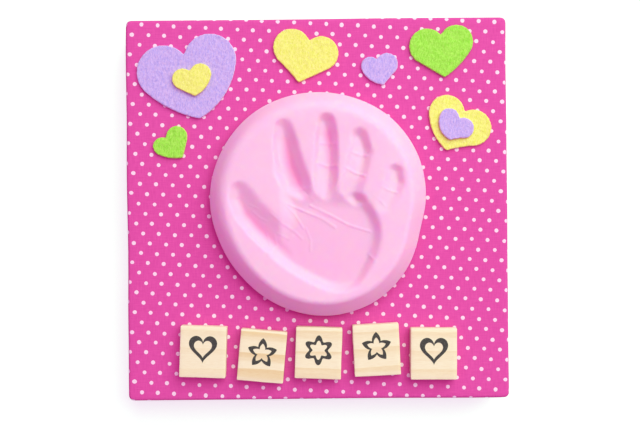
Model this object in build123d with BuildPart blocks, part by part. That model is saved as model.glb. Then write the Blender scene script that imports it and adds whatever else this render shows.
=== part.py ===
from build123d import *
import os
from math import cos, hypot, radians, sin

# A baby handprint frame: a small stretched canvas covered in cotton, with a clay handprint,
# felt hearts and wooden tiles on its front. It lies on its back, as it does on a table.
# Millimetres. X runs to the right of the picture, Y up the picture and Z out of its front.
# The origin is the centre of the back, on the surface that the frame lies on.

# Board: four bars, the canvas over them and the cotton over the canvas
board_side = 150.0
bar_width = 22.0
bar_depth = 16.0
bar_corner_radius = 1.6
bar_edge_chamfer = 1.0
canvas_thickness = 0.45
cotton_thickness = 0.35
canvas_hem = 14.0
cotton_hem = 17.0

# The bar's front face touches the canvas at a flat lip only, then falls away inwards
lip_width = 5.0
bevel_drop = 2.5

# Corner joint: the tongue of one bar in the slot of the next, mitred front and back
tongue_thickness = 5.4
tongue_clearance = 0.1

# Staples of flat wire: crown, legs and how far in from the board's side they are driven. The hem
# staples are spread along a side, so their pitch is a share of it.
hem_staple_crown = 8.0
hem_staple_leg = 6.0
hem_staple_wire_width = 0.7
hem_staple_wire_thickness = 0.35
hem_staple_inset = 9.0
hem_staple_pitch_share = 0.253
corner_staple_crown = 10.0
corner_staple_leg = 9.0
corner_staple_wire_width = 1.2
corner_staple_wire_thickness = 0.8
corner_staple_inset = 15.0

# Clay disc, patted round by hand: its outline runs round five lobes, with flats where the hand
# pressed between them. Each lobe is an angle in degrees and a share of the radius out to its middle.
disc_radius = 43.0
disc_thickness = 11.0
disc_edge_chamfer = 4.2
disc_slope_width = 5.0
disc_slope_reach = 2.4
disc_foot_chamfer = 1.5
disc_rise = 1.9
disc_lobe_radius_share = 0.85
disc_lobe_place_shares = ((45, 0.183), (105, 0.165), (150, 0.145), (262, 0.140), (295, 0.185))

# Handprint: places and sizes are shares of its length, from the middle fingertip to the heel.
# A finger is round about its bones, with a tip and a root: across, up, radius and depth of each.
# At its joint, a share of the way down, it is slimmer than its taper.
print_length = 67.0
finger_shares = {
    "index": ((-0.157, 0.426, 0.050, 0.052), (-0.096, 0.135, 0.076, 0.066)),
    "middle": ((0.079, 0.461, 0.052, 0.056), (0.064, 0.125, 0.072, 0.060)),
    "ring": ((0.267, 0.365, 0.050, 0.048), (0.213, 0.110, 0.066, 0.054)),
    "little": ((0.446, 0.162, 0.051, 0.036), (0.345, -0.010, 0.054, 0.036)),
    "thumb": ((-0.425, 0.055, 0.057, 0.052), (-0.185, -0.205, 0.098, 0.066)),
}
joint_place_share = 0.5
joint_nip_share = 0.92
# The palm is one shallow pan round five lobes, across, up and radius of each. Its wall slopes over
# most of its depth. The pads under the fingers, of the thumb and of the outer side of the hand are
# sunk deeper, and have their depth too.
palm_lobe_shares = (
    (-0.070, -0.005, 0.120), (0.205, -0.005, 0.105), (-0.095, -0.225, 0.165),
    (0.190, -0.200, 0.175), (0.105, -0.350, 0.150),
)
palm_depth_share = 0.045
palm_wall_share = 0.038
palm_pad_shares = ((0.080, -0.020, 0.150, 0.056), (-0.085, -0.225, 0.150, 0.062), (0.175, -0.225, 0.160, 0.060))

# Felt: one thickness, each heart's own width and height, and for a heart that lies on the cotton
# how far its middle is from the disc's edge
felt_thickness = 1.2
lilac_large_width = 39.2
lilac_large_height = 33.9
lilac_large_reach = 29.2
yellow_inner_width = 15.3
yellow_inner_height = 13.4
yellow_left_width = 25.9
yellow_left_height = 21.3
yellow_left_reach = 15.7
lilac_small_width = 14.9
lilac_small_height = 12.8
lilac_small_reach = 15.7
green_large_width = 24.9
green_large_height = 20.9
green_large_reach = 34.6
yellow_right_width = 25.2
yellow_right_height = 22.0
yellow_right_reach = 22.1
lilac_inner_width = 14.0
lilac_inner_height = 12.9
green_small_width = 13.7
green_small_height = 13.3
green_small_reach = 20.0

# Wooden tiles in a row under the disc. Each was laid by hand, so it lies a little across and up, in
# shares of its own width and height, and is turned by some degrees.
tile_width = 18.0
tile_height = 20.0
tile_thickness = 4.5
tile_corner_chamfer = 0.7
tile_edge_chamfer = 0.3
tile_gap = 4.5
tile_row_gap = 5.1
tile_place_shares = (
    (-0.006, 0.042, -2.3),
    (0.021, -0.051, -5.5),
    (-0.004, -0.002, -2.4),
    (0.008, 0.049, 2.4),
    (-0.005, -0.037, -0.6),
)

# Double-sided pads that hold the disc and the tiles
pad_thickness = 0.3
disc_pad_side = 18.0
disc_pad_gap = 12.0
tile_pad_side = 12.0

# One overrun serves all cuts
overrun = 2.0

# Levels, from the surface up
canvas_back = cotton_thickness
bar_back = canvas_back + canvas_thickness
bar_front = bar_back + bar_depth
canvas_front = bar_front + canvas_thickness
cotton_front = canvas_front + cotton_thickness
disc_back = cotton_front + pad_thickness
disc_front = disc_back + disc_thickness

# Sides, from the outside in
canvas_side = board_side - 2 * cotton_thickness
stretcher_side = canvas_side - 2 * canvas_thickness
half_stretcher = stretcher_side / 2


def eased_block(side, low, high, corner, edge):
    """A square block with round upright corners and an eased front edge."""
    with BuildPart() as block:
        with BuildSketch(Plane.XY.offset(low)):
            RectangleRounded(side, side, corner)
        extrude(amount=high - low)
        chamfer(block.faces().sort_by(Axis.Z)[-1].edges(), edge)
    return block.part


def finish(piece, label):
    """Name a finished piece and write it out."""
    piece.part.label = label
    export_step(piece.part, "parts/" + label + ".step")


os.makedirs("parts", exist_ok=True)

stretcher_form = eased_block(stretcher_side, bar_back, bar_front, bar_corner_radius, bar_edge_chamfer)
canvas_form = eased_block(
    canvas_side, canvas_back, canvas_front,
    bar_corner_radius + canvas_thickness, bar_edge_chamfer + canvas_thickness,
)
cotton_form = eased_block(
    board_side, 0, cotton_front,
    bar_corner_radius + canvas_thickness + cotton_thickness,
    bar_edge_chamfer + canvas_thickness + cotton_thickness,
)


# Staples

def staple_group(places, low, crown, leg, width, thickness):
    """Staples driven upwards, their crowns lying at low. Each place is across, up and turn."""
    with BuildPart() as group:
        for across, up, turn in places:
            with Locations(Location((across, up, low), (0, 0, turn))):
                Box(crown, width, thickness, align=(Align.CENTER, Align.CENTER, Align.MIN))
                with GridLocations(crown - thickness, 0, 2, 1):
                    Box(thickness, width, leg, align=(Align.CENTER, Align.CENTER, Align.MIN))
    return group


def round_the_board(along):
    """Places along the four sides, at the staples' inset from the board's side."""
    inset = board_side / 2 - hem_staple_inset
    places = []
    for side in range(4):
        turn = 90 * side
        for step in along:
            across = step * cos(radians(turn)) + inset * sin(radians(turn))
            up = step * sin(radians(turn)) - inset * cos(radians(turn))
            places.append((across, up, turn))
    return places


def corner_places():
    """A staple across each mitre, at its inset from the outside corner."""
    reach = hypot(half_stretcher, half_stretcher) - corner_staple_inset
    places = []
    for diagonal in (45, 135, 225, 315):
        across = reach * cos(radians(diagonal))
        up = reach * sin(radians(diagonal))
        places.append((across, up, diagonal + 90))
    return places


# The canvas's staples lie half a pitch away from the cotton's, so that none meets another
hem_staple_pitch = hem_staple_pitch_share * board_side
canvas_staples = staple_group(
    round_the_board([-hem_staple_pitch / 2, hem_staple_pitch / 2]), canvas_back,
    hem_staple_crown, hem_staple_leg, hem_staple_wire_width, hem_staple_wire_thickness,
)
cover_staples = staple_group(
    round_the_board([-hem_staple_pitch, 0, hem_staple_pitch]), 0,
    hem_staple_crown, hem_staple_leg, hem_staple_wire_width, hem_staple_wire_thickness,
)
corner_staples = staple_group(
    corner_places(), bar_back,
    corner_staple_crown, corner_staple_leg, corner_staple_wire_width, corner_staple_wire_thickness,
)
finish(canvas_staples, "canvas_staples")
finish(cover_staples, "cover_staples")
finish(corner_staples, "corner_staples")


# Stretcher bars: the bar along the bottom side is made and turned to the other three sides

def stretcher_bar(label, turn):
    """A mitred bar with a tongue at one end and a slot at the other."""
    inner = -half_stretcher + bar_width
    slot_low = bar_back + (bar_depth - tongue_thickness) / 2 - tongue_clearance
    slot_height = tongue_thickness + 2 * tongue_clearance
    with BuildPart() as bar:
        with BuildSketch(Plane.XY.offset(bar_back)):
            with BuildLine():
                Polyline(
                    (-half_stretcher, -half_stretcher), (half_stretcher, -half_stretcher),
                    (-inner, inner), (inner, inner), close=True,
                )
            make_face()
        extrude(amount=bar_depth)
        # The slot takes the neighbour's whole width out of the middle of the depth
        with BuildSketch(Plane.XY.offset(slot_low)):
            with Locations((-half_stretcher, -half_stretcher)):
                Rectangle(bar_width, bar_width, align=(Align.MIN, Align.MIN))
        extrude(amount=slot_height, mode=Mode.SUBTRACT)
        # The tongue runs on to the far side of the corner, a little narrower than the bar
        with BuildSketch(Plane.XY.offset(slot_low + tongue_clearance)):
            with Locations((-inner, -half_stretcher)):
                Rectangle(bar_width, bar_width - tongue_clearance, align=(Align.MIN, Align.MIN))
        extrude(amount=tongue_thickness)
        # The bevel keeps the bar's inner edge from marking the canvas
        with BuildSketch(Plane.YZ):
            with BuildLine():
                Polyline(
                    (-half_stretcher + lip_width, bar_front), (inner, bar_front - bevel_drop),
                    (inner + overrun, bar_front - bevel_drop), (inner + overrun, bar_front),
                    close=True,
                )
            make_face()
        extrude(amount=half_stretcher, both=True, mode=Mode.SUBTRACT)
        add(stretcher_form, mode=Mode.INTERSECT)
        add(canvas_staples.part.rotate(Axis.Z, -turn), mode=Mode.SUBTRACT)
        add(cover_staples.part.rotate(Axis.Z, -turn), mode=Mode.SUBTRACT)
        add(corner_staples.part.rotate(Axis.Z, -turn), mode=Mode.SUBTRACT)
    bar.part = bar.part.rotate(Axis.Z, turn)
    finish(bar, label)


for bar_label, bar_turn in (
    ("stretcher_bar_bottom", 0), ("stretcher_bar_right", 90),
    ("stretcher_bar_top", 180), ("stretcher_bar_left", 270),
):
    stretcher_bar(bar_label, bar_turn)


# Canvas: over the front and the sides, with its hem turned under the bars
with BuildPart() as canvas:
    add(canvas_form)
    add(stretcher_form, mode=Mode.SUBTRACT)
    with BuildSketch(Plane.XY):
        Rectangle(canvas_side - 2 * canvas_hem, canvas_side - 2 * canvas_hem)
    extrude(amount=bar_back + overrun, mode=Mode.SUBTRACT)
    add(canvas_staples.part, mode=Mode.SUBTRACT)
    add(cover_staples.part, mode=Mode.SUBTRACT)
finish(canvas, "canvas")

# Polka-dot cotton, over the canvas in the same way
with BuildPart() as fabric_cover:
    add(cotton_form)
    add(canvas_form, mode=Mode.SUBTRACT)
    with BuildSketch(Plane.XY):
        Rectangle(board_side - 2 * cotton_hem, board_side - 2 * cotton_hem)
    extrude(amount=bar_back + overrun, mode=Mode.SUBTRACT)
    add(cover_staples.part, mode=Mode.SUBTRACT)
finish(fabric_cover, "fabric_cover")


# Clay disc with the handprint

def hand_place(across_share, up_share, above=0):
    """A place in the print, at or above the disc's front."""
    return Vector(across_share * print_length, disc_rise + up_share * print_length, disc_front + above)


def sunk_ball(across_share, up_share, radius_share, depth_share):
    """Middle and radius of a ball sunk to a depth, as wide as asked where it enters the front."""
    width = radius_share * print_length
    sunk = depth_share * print_length
    radius = (width**2 + sunk**2) / (2 * sunk)
    return hand_place(across_share, up_share, radius - sunk), radius


def finger(tip_shares, root_shares):
    """A finger turned about the line through its tip and its root: a round tip, a waist at the
    joint, and a root that runs out under the palm."""
    tip, tip_radius = sunk_ball(*tip_shares)
    root, root_radius = sunk_ball(*root_shares)
    length = (root - tip).length
    joint = joint_place_share * length
    joint_radius = (tip_radius + (root_radius - tip_radius) * joint_place_share) * joint_nip_share
    along = Plane(origin=tip, x_dir=root - tip, z_dir=Vector(0, 0, 1).cross(root - tip))
    with BuildPart() as form:
        with BuildSketch(along):
            with BuildLine():
                CenterArc((0, 0), tip_radius, 90, 90)
                Polyline(
                    (0, tip_radius), (joint, joint_radius), (length, root_radius),
                    (length + root_radius, 0), (-tip_radius, 0),
                )
            make_face()
        revolve(axis=Axis(tip, root - tip))
    return form.part


finger_forms = [finger(*ends) for ends in finger_shares.values()]

with BuildPart() as palm_pan:
    with BuildSketch(Plane.XY.offset(disc_front)) as palm_outline:
        for across_share, up_share, radius_share in palm_lobe_shares:
            with Locations(hand_place(across_share, up_share)):
                Circle(radius_share * print_length)
        make_hull(palm_outline.edges())
    extrude(amount=-palm_depth_share * print_length)
    palm_floor = palm_pan.faces().sort_by(Axis.Z)[0]
    chamfer(palm_floor.edges(), palm_wall_share * print_length)

with BuildPart() as clay_disc:
    with BuildSketch(Plane.XY.offset(disc_back)) as disc_outline:
        for angle, reach_share in disc_lobe_place_shares:
            lobe_across = disc_radius * reach_share * cos(radians(angle))
            lobe_up = disc_rise + disc_radius * reach_share * sin(radians(angle))
            with Locations((lobe_across, lobe_up)):
                Circle(disc_radius * disc_lobe_radius_share)
        make_hull(disc_outline.edges())
    extrude(amount=disc_thickness)
    # The rim is eased twice: down to the side, then in from there along the front
    chamfer(clay_disc.faces().sort_by(Axis.Z)[-1].edges(), disc_edge_chamfer)
    clay_front = clay_disc.faces().sort_by(Axis.Z)[-1]
    chamfer(clay_front.edges(), disc_slope_width, disc_slope_reach, reference=clay_front)
    chamfer(clay_disc.faces().sort_by(Axis.Z)[0].edges(), disc_foot_chamfer)
    add(palm_pan.part, mode=Mode.SUBTRACT)
    for pad_shares in palm_pad_shares:
        pad_middle, pad_radius = sunk_ball(*pad_shares)
        with Locations(pad_middle):
            Sphere(pad_radius, rotation=(90, 0, 0), mode=Mode.SUBTRACT)
    for form in finger_forms:
        add(form, mode=Mode.SUBTRACT)
finish(clay_disc, "clay_disc")

with BuildPart() as disc_adhesive_pads:
    with BuildSketch(Plane.XY.offset(cotton_front)):
        with Locations((0, disc_rise)):
            with GridLocations(disc_pad_side + disc_pad_gap, disc_pad_side + disc_pad_gap, 2, 2):
                Rectangle(disc_pad_side, disc_pad_side)
    extrude(amount=pad_thickness)
finish(disc_adhesive_pads, "disc_adhesive_pads")


# Felt hearts, each cut by hand. A heart on the cotton lies at an angle round the disc, and one on
# another heart lies off that one's middle by shares of its width and height. Its outline is in
# shares of its own width and height: the notch, the tip, and on each side the top of the lobe and
# the place where the lobe passes into the long side.

hearts = {
    "heart_lilac_large": dict(
        angle=135, reach=lilac_large_reach, width=lilac_large_width, height=lilac_large_height,
        notch_share=(-0.02, 0.24), tip_share=(0.13, -0.50),
        left_shares=((-0.50, 0.05), (-0.41, -0.19)), right_shares=((0.18, 0.48), (0.50, 0.15)),
    ),
    "heart_yellow_inner": dict(
        under="heart_lilac_large", offset_share=(0.055, -0.045),
        width=yellow_inner_width, height=yellow_inner_height,
        notch_share=(-0.04, 0.23), tip_share=(0.08, -0.50),
        left_shares=((-0.50, -0.02), (-0.34, -0.28)), right_shares=((0.19, 0.46), (0.50, 0.07)),
    ),
    "heart_yellow_left": dict(
        angle=93.7, reach=yellow_left_reach, width=yellow_left_width, height=yellow_left_height,
        notch_share=(0.05, 0.27), tip_share=(-0.12, -0.50),
        left_shares=((-0.21, 0.50), (-0.42, -0.09)), right_shares=((0.31, 0.34), (0.34, -0.25)),
    ),
    "heart_lilac_small": dict(
        angle=64.9, reach=lilac_small_reach, width=lilac_small_width, height=lilac_small_height,
        notch_share=(-0.06, 0.29), tip_share=(0.12, -0.50),
        left_shares=((-0.36, 0.33), (-0.46, -0.05)), right_shares=((0.18, 0.48), (0.42, -0.10)),
    ),
    "heart_green_large": dict(
        angle=50.5, reach=green_large_reach, width=green_large_width, height=green_large_height,
        notch_share=(0.00, 0.30), tip_share=(0.05, -0.50),
        left_shares=((-0.49, 0.20), (-0.37, -0.20)), right_shares=((0.23, 0.49), (0.47, 0.01)),
    ),
    "heart_yellow_right": dict(
        angle=29.1, reach=yellow_right_reach, width=yellow_right_width, height=yellow_right_height,
        notch_share=(0.06, 0.19), tip_share=(-0.23, -0.50),
        left_shares=((-0.46, 0.34), (-0.50, 0.17)), right_shares=((0.45, -0.23), (0.21, -0.42)),
    ),
    "heart_lilac_inner": dict(
        under="heart_yellow_right", offset_share=(-0.065, -0.025),
        width=lilac_inner_width, height=lilac_inner_height,
        notch_share=(0.06, 0.15), tip_share=(-0.20, -0.50),
        left_shares=((-0.09, 0.44), (-0.48, 0.28)), right_shares=((0.36, 0.11), (0.16, -0.45)),
    ),
    "heart_green_small": dict(
        angle=156.6, reach=green_small_reach, width=green_small_width, height=green_small_height,
        notch_share=(-0.10, 0.11), tip_share=(0.36, -0.47),
        left_shares=((-0.48, -0.19), (-0.34, -0.37)), right_shares=((0.34, 0.44), (0.50, 0.11)),
    ),
}


def heart_middle(heart):
    """Where the middle of a heart lies, and the level of its back."""
    if "under" not in heart:
        spread = disc_radius + heart["reach"]
        across = spread * cos(radians(heart["angle"]))
        up = disc_rise + spread * sin(radians(heart["angle"]))
        return across, up, cotton_front
    lower = hearts[heart["under"]]
    across, up, level = heart_middle(lower)
    across += heart["offset_share"][0] * lower["width"]
    up += heart["offset_share"][1] * lower["height"]
    return across, up, level + felt_thickness


def felt_heart(label, heart):
    """A heart cut from felt: a round lobe and a long side from the notch to the tip, twice."""
    across, up, level = heart_middle(heart)

    def spot(point_share):
        return across + point_share[0] * heart["width"], up + point_share[1] * heart["height"]

    notch = spot(heart["notch_share"])
    tip = spot(heart["tip_share"])
    with BuildPart() as felt:
        with BuildSketch(Plane.XY.offset(level)):
            with BuildLine():
                for top_share, side_share in (heart["left_shares"], heart["right_shares"]):
                    lobe = ThreePointArc(notch, spot(top_share), spot(side_share))
                    TangentArc(lobe @ 1, tip, tangent=lobe % 1)
            make_face()
        extrude(amount=felt_thickness)
    finish(felt, label)


for heart_label, heart_sizes in hearts.items():
    felt_heart(heart_label, heart_sizes)


# Wooden tiles and the pads under them
tile_row_up = disc_rise - disc_radius - tile_row_gap - tile_height / 2
tile_row_middle = (len(tile_place_shares) - 1) / 2
tile_locations = [
    Location(
        (
            (step - tile_row_middle) * (tile_width + tile_gap) + across_share * tile_width,
            tile_row_up + up_share * tile_height,
            0,
        ),
        (0, 0, turn),
    )
    for step, (across_share, up_share, turn) in enumerate(tile_place_shares)
]

for number, tile_location in enumerate(tile_locations, start=1):
    with BuildPart() as wooden_tile:
        with BuildSketch(Plane.XY.offset(cotton_front + pad_thickness)):
            with Locations(tile_location):
                Rectangle(tile_width, tile_height)
        extrude(amount=tile_thickness)
        chamfer(wooden_tile.edges().filter_by(Axis.Z), tile_corner_chamfer)
        chamfer(wooden_tile.faces().sort_by(Axis.Z)[-1].edges(), tile_edge_chamfer)
        chamfer(wooden_tile.faces().sort_by(Axis.Z)[0].edges(), tile_edge_chamfer)
    finish(wooden_tile, "wooden_tile_" + str(number))

with BuildPart() as tile_adhesive_pads:
    with BuildSketch(Plane.XY.offset(cotton_front)):
        with Locations(*tile_locations):
            Rectangle(tile_pad_side, tile_pad_side)
    extrude(amount=pad_thickness)
finish(tile_adhesive_pads, "tile_adhesive_pads")
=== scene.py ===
# %% [markdown]
# # A framed handprint, dressed for the camera
#
# The real object is a small stretched canvas covered in polka-dot cotton. It carries a disc of
# air-dried clay with a baby's handprint, eight felt hearts and a row of five little wooden tiles.
# The solid model fixes the sizes, so this lesson starts from it and gives every visible piece its
# real surface. Lengths that belong to the object are written in millimetres and turned into
# metres once, by `mm`.

# %% Load the frame
import math

import bmesh
import bpy
import numpy as np
from mathutils import Matrix, Vector, noise


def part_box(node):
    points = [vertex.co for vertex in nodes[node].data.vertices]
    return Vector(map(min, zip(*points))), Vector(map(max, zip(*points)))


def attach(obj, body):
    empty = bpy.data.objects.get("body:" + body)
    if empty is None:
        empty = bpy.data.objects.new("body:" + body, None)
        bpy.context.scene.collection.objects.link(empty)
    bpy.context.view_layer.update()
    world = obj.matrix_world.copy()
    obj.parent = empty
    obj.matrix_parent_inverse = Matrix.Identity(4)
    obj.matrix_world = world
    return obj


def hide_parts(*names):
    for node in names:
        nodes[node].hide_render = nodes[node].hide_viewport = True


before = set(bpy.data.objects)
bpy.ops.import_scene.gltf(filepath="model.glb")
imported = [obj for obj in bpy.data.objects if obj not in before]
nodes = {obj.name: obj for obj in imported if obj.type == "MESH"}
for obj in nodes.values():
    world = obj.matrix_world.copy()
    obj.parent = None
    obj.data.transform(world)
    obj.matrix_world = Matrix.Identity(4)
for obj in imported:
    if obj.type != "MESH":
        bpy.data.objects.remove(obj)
body = "root"
mm = 0.001
# Without a seed, noise_vector takes its offsets from the clock, and no two runs would be alike.
noise_seed = 1796013217
noise.seed_set(noise_seed)
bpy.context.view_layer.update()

# %% [markdown]
# ## Working like a modeller, from a script
#
# Every operator acts on whatever is selected, so each step first puts everything down and then picks up
# its own piece. In edit mode, faces, edges and points are picked by a rule on their place or direction,
# which is easier to read later than a list of index numbers. Finished pieces go through one function
# that gives them a material and a body, and hides the solids that they replace.


# %% Picking up, picking out and putting down
def put_down():
    if bpy.context.object and bpy.context.object.mode != "OBJECT":
        bpy.ops.object.mode_set(mode="OBJECT")
    bpy.ops.object.select_all(action="DESELECT")


def pick_up(piece):
    put_down()
    piece.select_set(True)
    bpy.context.view_layer.objects.active = piece


def edit(piece):
    pick_up(piece)
    bpy.ops.object.mode_set(mode="EDIT")
    bpy.ops.mesh.select_all(action="DESELECT")


def pick(piece, kind, rule):
    """Select only the verts, edges or faces of a piece in edit mode that pass the rule."""
    bpy.ops.mesh.select_mode(type={"verts": "VERT", "edges": "EDGE", "faces": "FACE"}[kind])
    bpy.ops.mesh.select_all(action="DESELECT")
    mesh = bmesh.from_edit_mesh(piece.data)
    chosen = [part for part in getattr(mesh, kind) if rule(part)]
    for part in chosen:
        part.select_set(True)
    bmesh.update_edit_mesh(piece.data)


def pick_all():
    bpy.ops.mesh.select_all(action="SELECT")


def cut_through(spot, normal):
    """Cut the whole mesh in edit mode along a plane, and keep both sides."""
    pick_all()
    bpy.ops.mesh.bisect(plane_co=spot, plane_no=normal)


def fix_place(piece, name):
    """Name the piece and put its place, turn and scale into its mesh."""
    pick_up(piece)
    bpy.ops.object.transform_apply(location=True, rotation=True, scale=True)
    piece.name = name
    piece.data.name = name
    return piece


def points_of(piece):
    points = np.empty(len(piece.data.vertices) * 3)
    piece.data.vertices.foreach_get("co", points)
    return points.reshape(-1, 3)


def move_points(piece, points):
    piece.data.vertices.foreach_set("co", np.asarray(points, dtype=float).ravel())
    piece.data.update()


def smooth_by_angle(piece, degrees=35):
    pick_up(piece)
    bpy.ops.object.shade_smooth_by_angle(angle=math.radians(degrees))


def apply_all(piece):
    pick_up(piece)
    for modifier in list(piece.modifiers):
        bpy.ops.object.modifier_apply(modifier=modifier.name)


def finish_piece(piece, material, slot, *replaced):
    piece.data.materials.clear()
    piece.data.materials.append(material)
    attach(piece, body)
    if replaced:
        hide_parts(*replaced)
    triangles = sum(len(face.vertices) - 2 for face in piece.data.polygons)
    print(piece.name, triangles, "triangles")


# %% [markdown]
# ## Camera
#
# The photograph was taken from straight above, a little less than 37 cm up, with the board turned
# by about half a degree. A camera that looks down needs no turn at all in Blender, so only that
# half degree is set. The height follows from the scale: the board's front is 380 of the picture's
# 640 pixels wide.

# %% Camera
picture_width_px = 640
board_width_px = 380
lens_mm = 50
sensor_mm = 36
board_side = nodes["fabric_cover"].dimensions.x
board_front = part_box("fabric_cover")[1].z
camera_rise = board_side * picture_width_px / board_width_px * lens_mm / sensor_mm
camera_place = Vector((1.05 * mm, -1.79 * mm, board_front + camera_rise))
camera_turn = math.radians(-0.55)

camera_data = bpy.data.cameras.new("camera")
camera_data.lens = lens_mm
camera_data.sensor_width = sensor_mm
camera = bpy.data.objects.new("camera", camera_data)
camera.location = camera_place
camera.rotation_euler = (0, 0, camera_turn)
bpy.context.scene.collection.objects.link(camera)
bpy.context.scene.camera = camera
print("camera height in mm", round(camera.location.z / mm, 1))

# %% [markdown]
# ## Writing shader nodes without the mess
#
# A material is a small sum: noise here, a mask there, two colours mixed. These helpers each add
# one node and give back its output, so that the finishes below read from top to bottom. Colours
# are given as they look on screen, from 0 to 255, and turned into the linear values that a shader
# wants.


# %% Node helpers
def colour(red, green, blue):
    def linear(value):
        share = value / 255
        return share / 12.92 if share <= 0.04045 else ((share + 0.055) / 1.055) ** 2.4

    return (linear(red), linear(green), linear(blue), 1)


def feed(tree, value, socket):
    if isinstance(value, bpy.types.NodeSocket):
        tree.links.new(value, socket)
    else:
        socket.default_value = value


def feed_all(tree, node, values):
    for name, value in values.items():
        feed(tree, value, node.inputs[name])


def sum_of(tree, operation, *values):
    node = tree.nodes.new("ShaderNodeMath")
    node.operation = operation
    for value, socket in zip(values, node.inputs):
        feed(tree, value, socket)
    return node.outputs[0]


def plus(tree, first, second):
    return sum_of(tree, "ADD", first, second)


def minus(tree, first, second):
    return sum_of(tree, "SUBTRACT", first, second)


def times(tree, first, second):
    return sum_of(tree, "MULTIPLY", first, second)


def vector_sum(tree, operation, first, second=None):
    node = tree.nodes.new("ShaderNodeVectorMath")
    node.operation = operation
    feed(tree, first, node.inputs[0])
    if second is not None:
        feed(tree, second, node.inputs["Scale" if operation == "SCALE" else 1])
    return node.outputs["Value" if operation in ("DOT_PRODUCT", "LENGTH") else "Vector"]


def parts_of(tree, vector):
    node = tree.nodes.new("ShaderNodeSeparateXYZ")
    tree.links.new(vector, node.inputs[0])
    return node.outputs


def noise_of(tree, place, scale, detail=2.0, roughness=0.5, stretch=None):
    if stretch:
        place = vector_sum(tree, "MULTIPLY", place, stretch)
    node = tree.nodes.new("ShaderNodeTexNoise")
    values = {"Vector": place, "Scale": scale, "Detail": detail, "Roughness": roughness}
    feed_all(tree, node, values)
    return node.outputs["Fac"]


def ramp(tree, value, low, high, low_out=0.0, high_out=1.0):
    node = tree.nodes.new("ShaderNodeMapRange")
    node.interpolation_type = "SMOOTHSTEP"
    for socket, number in zip(node.inputs, (value, low, high, low_out, high_out)):
        feed(tree, number, socket)
    return node.outputs["Result"]


def mix(tree, share, first, second):
    node = tree.nodes.new("ShaderNodeMix")
    node.data_type = "RGBA"
    feed(tree, share, node.inputs[0])
    feed(tree, first, node.inputs[6])
    feed(tree, second, node.inputs[7])
    return node.outputs[2]


def mix_shaders(tree, share, first, second):
    node = tree.nodes.new("ShaderNodeMixShader")
    for value, socket in zip((share, first, second), node.inputs):
        tree.links.new(value, socket)
    return node.outputs[0]


def rays_to_the_eye(tree):
    """1 for rays that the camera sees, straight or by way of gloss and glass, and 0 for the rest."""
    path = tree.nodes.new("ShaderNodeLightPath").outputs
    seen = sum_of(tree, "MAXIMUM", path["Is Camera Ray"], path["Is Glossy Ray"])
    return sum_of(tree, "MAXIMUM", seen, path["Is Transmission Ray"])


# %% [markdown]
# ## Light and floor
#
# The rim of the disc is bright towards the upper right and dark towards the lower left, and the
# shadows between the tiles are soft. That is one broad soft lamp from the upper right, 48 degrees
# up, and pale light from everywhere else. The two together light a white card to white, so that a
# colour renders about as it is written. The shadows in the photograph are pinker than the lit
# faces, so the pale light is pink and the lamp a little green, and they even out where both fall.
# A second lamp stands under the table and lights the back of the board. The white of the table
# and of the room behind it is only for rays that the camera sees, so it adds no light to the
# object.

# %% Lamps
key_distance = 1.6
key_size = 1.8
key_rise = math.radians(48)
key_bearing = math.radians(52)
key_share = 0.83
fill_share = 0.36
back_share = 0.45
key_tint = (0.83, 1.23, 0.84)
fill_tint = (1.54, 0.53, 1.32)
back_tint = (0.74, 1.48, 0.90)

key_direction = Vector((
    math.cos(key_rise) * math.cos(key_bearing),
    math.cos(key_rise) * math.sin(key_bearing),
    math.sin(key_rise),
))
back_direction = Vector((-0.2, 0.3, -0.93)).normalized()


def add_lamp(name, direction, share, tint):
    """A round lamp that gives a level face this share of a white card's light."""
    lamp_data = bpy.data.lights.new(name, "AREA")
    lamp_data.shape = "DISK"
    lamp_data.size = key_size
    lamp_data.color = tint
    lamp_data.energy = share * (math.pi * key_distance) ** 2 / abs(direction.z)
    lamp = bpy.data.objects.new(name, lamp_data)
    lamp.location = direction * key_distance
    lamp.rotation_euler = direction.to_track_quat("Z", "Y").to_euler()
    lamp.visible_camera = False
    bpy.context.scene.collection.objects.link(lamp)
    print(name, round(lamp_data.energy, 2), "W")


add_lamp("key", key_direction, key_share, key_tint)
add_lamp("under_table", back_direction, back_share, back_tint)

# %% Room
room_colour = (0.92, 0.94, 0.96, 1)

world = bpy.data.worlds.new("pale_room")
world.use_nodes = True
room = world.node_tree
room_light = room.nodes["Background"]
room_seen = room.nodes.new("ShaderNodeBackground")
feed_all(room, room_light, {"Color": (*fill_tint, 1), "Strength": fill_share})
feed_all(room, room_seen, {"Color": room_colour})
room_choice = mix_shaders(room, rays_to_the_eye(room), room_light.outputs[0], room_seen.outputs[0])
room.links.new(room_choice, room.nodes["World Output"].inputs["Surface"])
bpy.context.scene.world = world
bpy.context.scene.view_settings.view_transform = "Standard"
print("room light", fill_share)

# %% [markdown]
# The table is there for the eye and from above only. Light then reaches the back of the board,
# and the back can be looked at. The pale light is pink, so the table's own colour leans to green,
# which keeps the board's shadow grey.

# %% Table
table_side = 4
table_colour = (0.39, 0.60, 0.41, 1)
table_glow = (0.68, 0.67, 0.71, 1)

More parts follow.
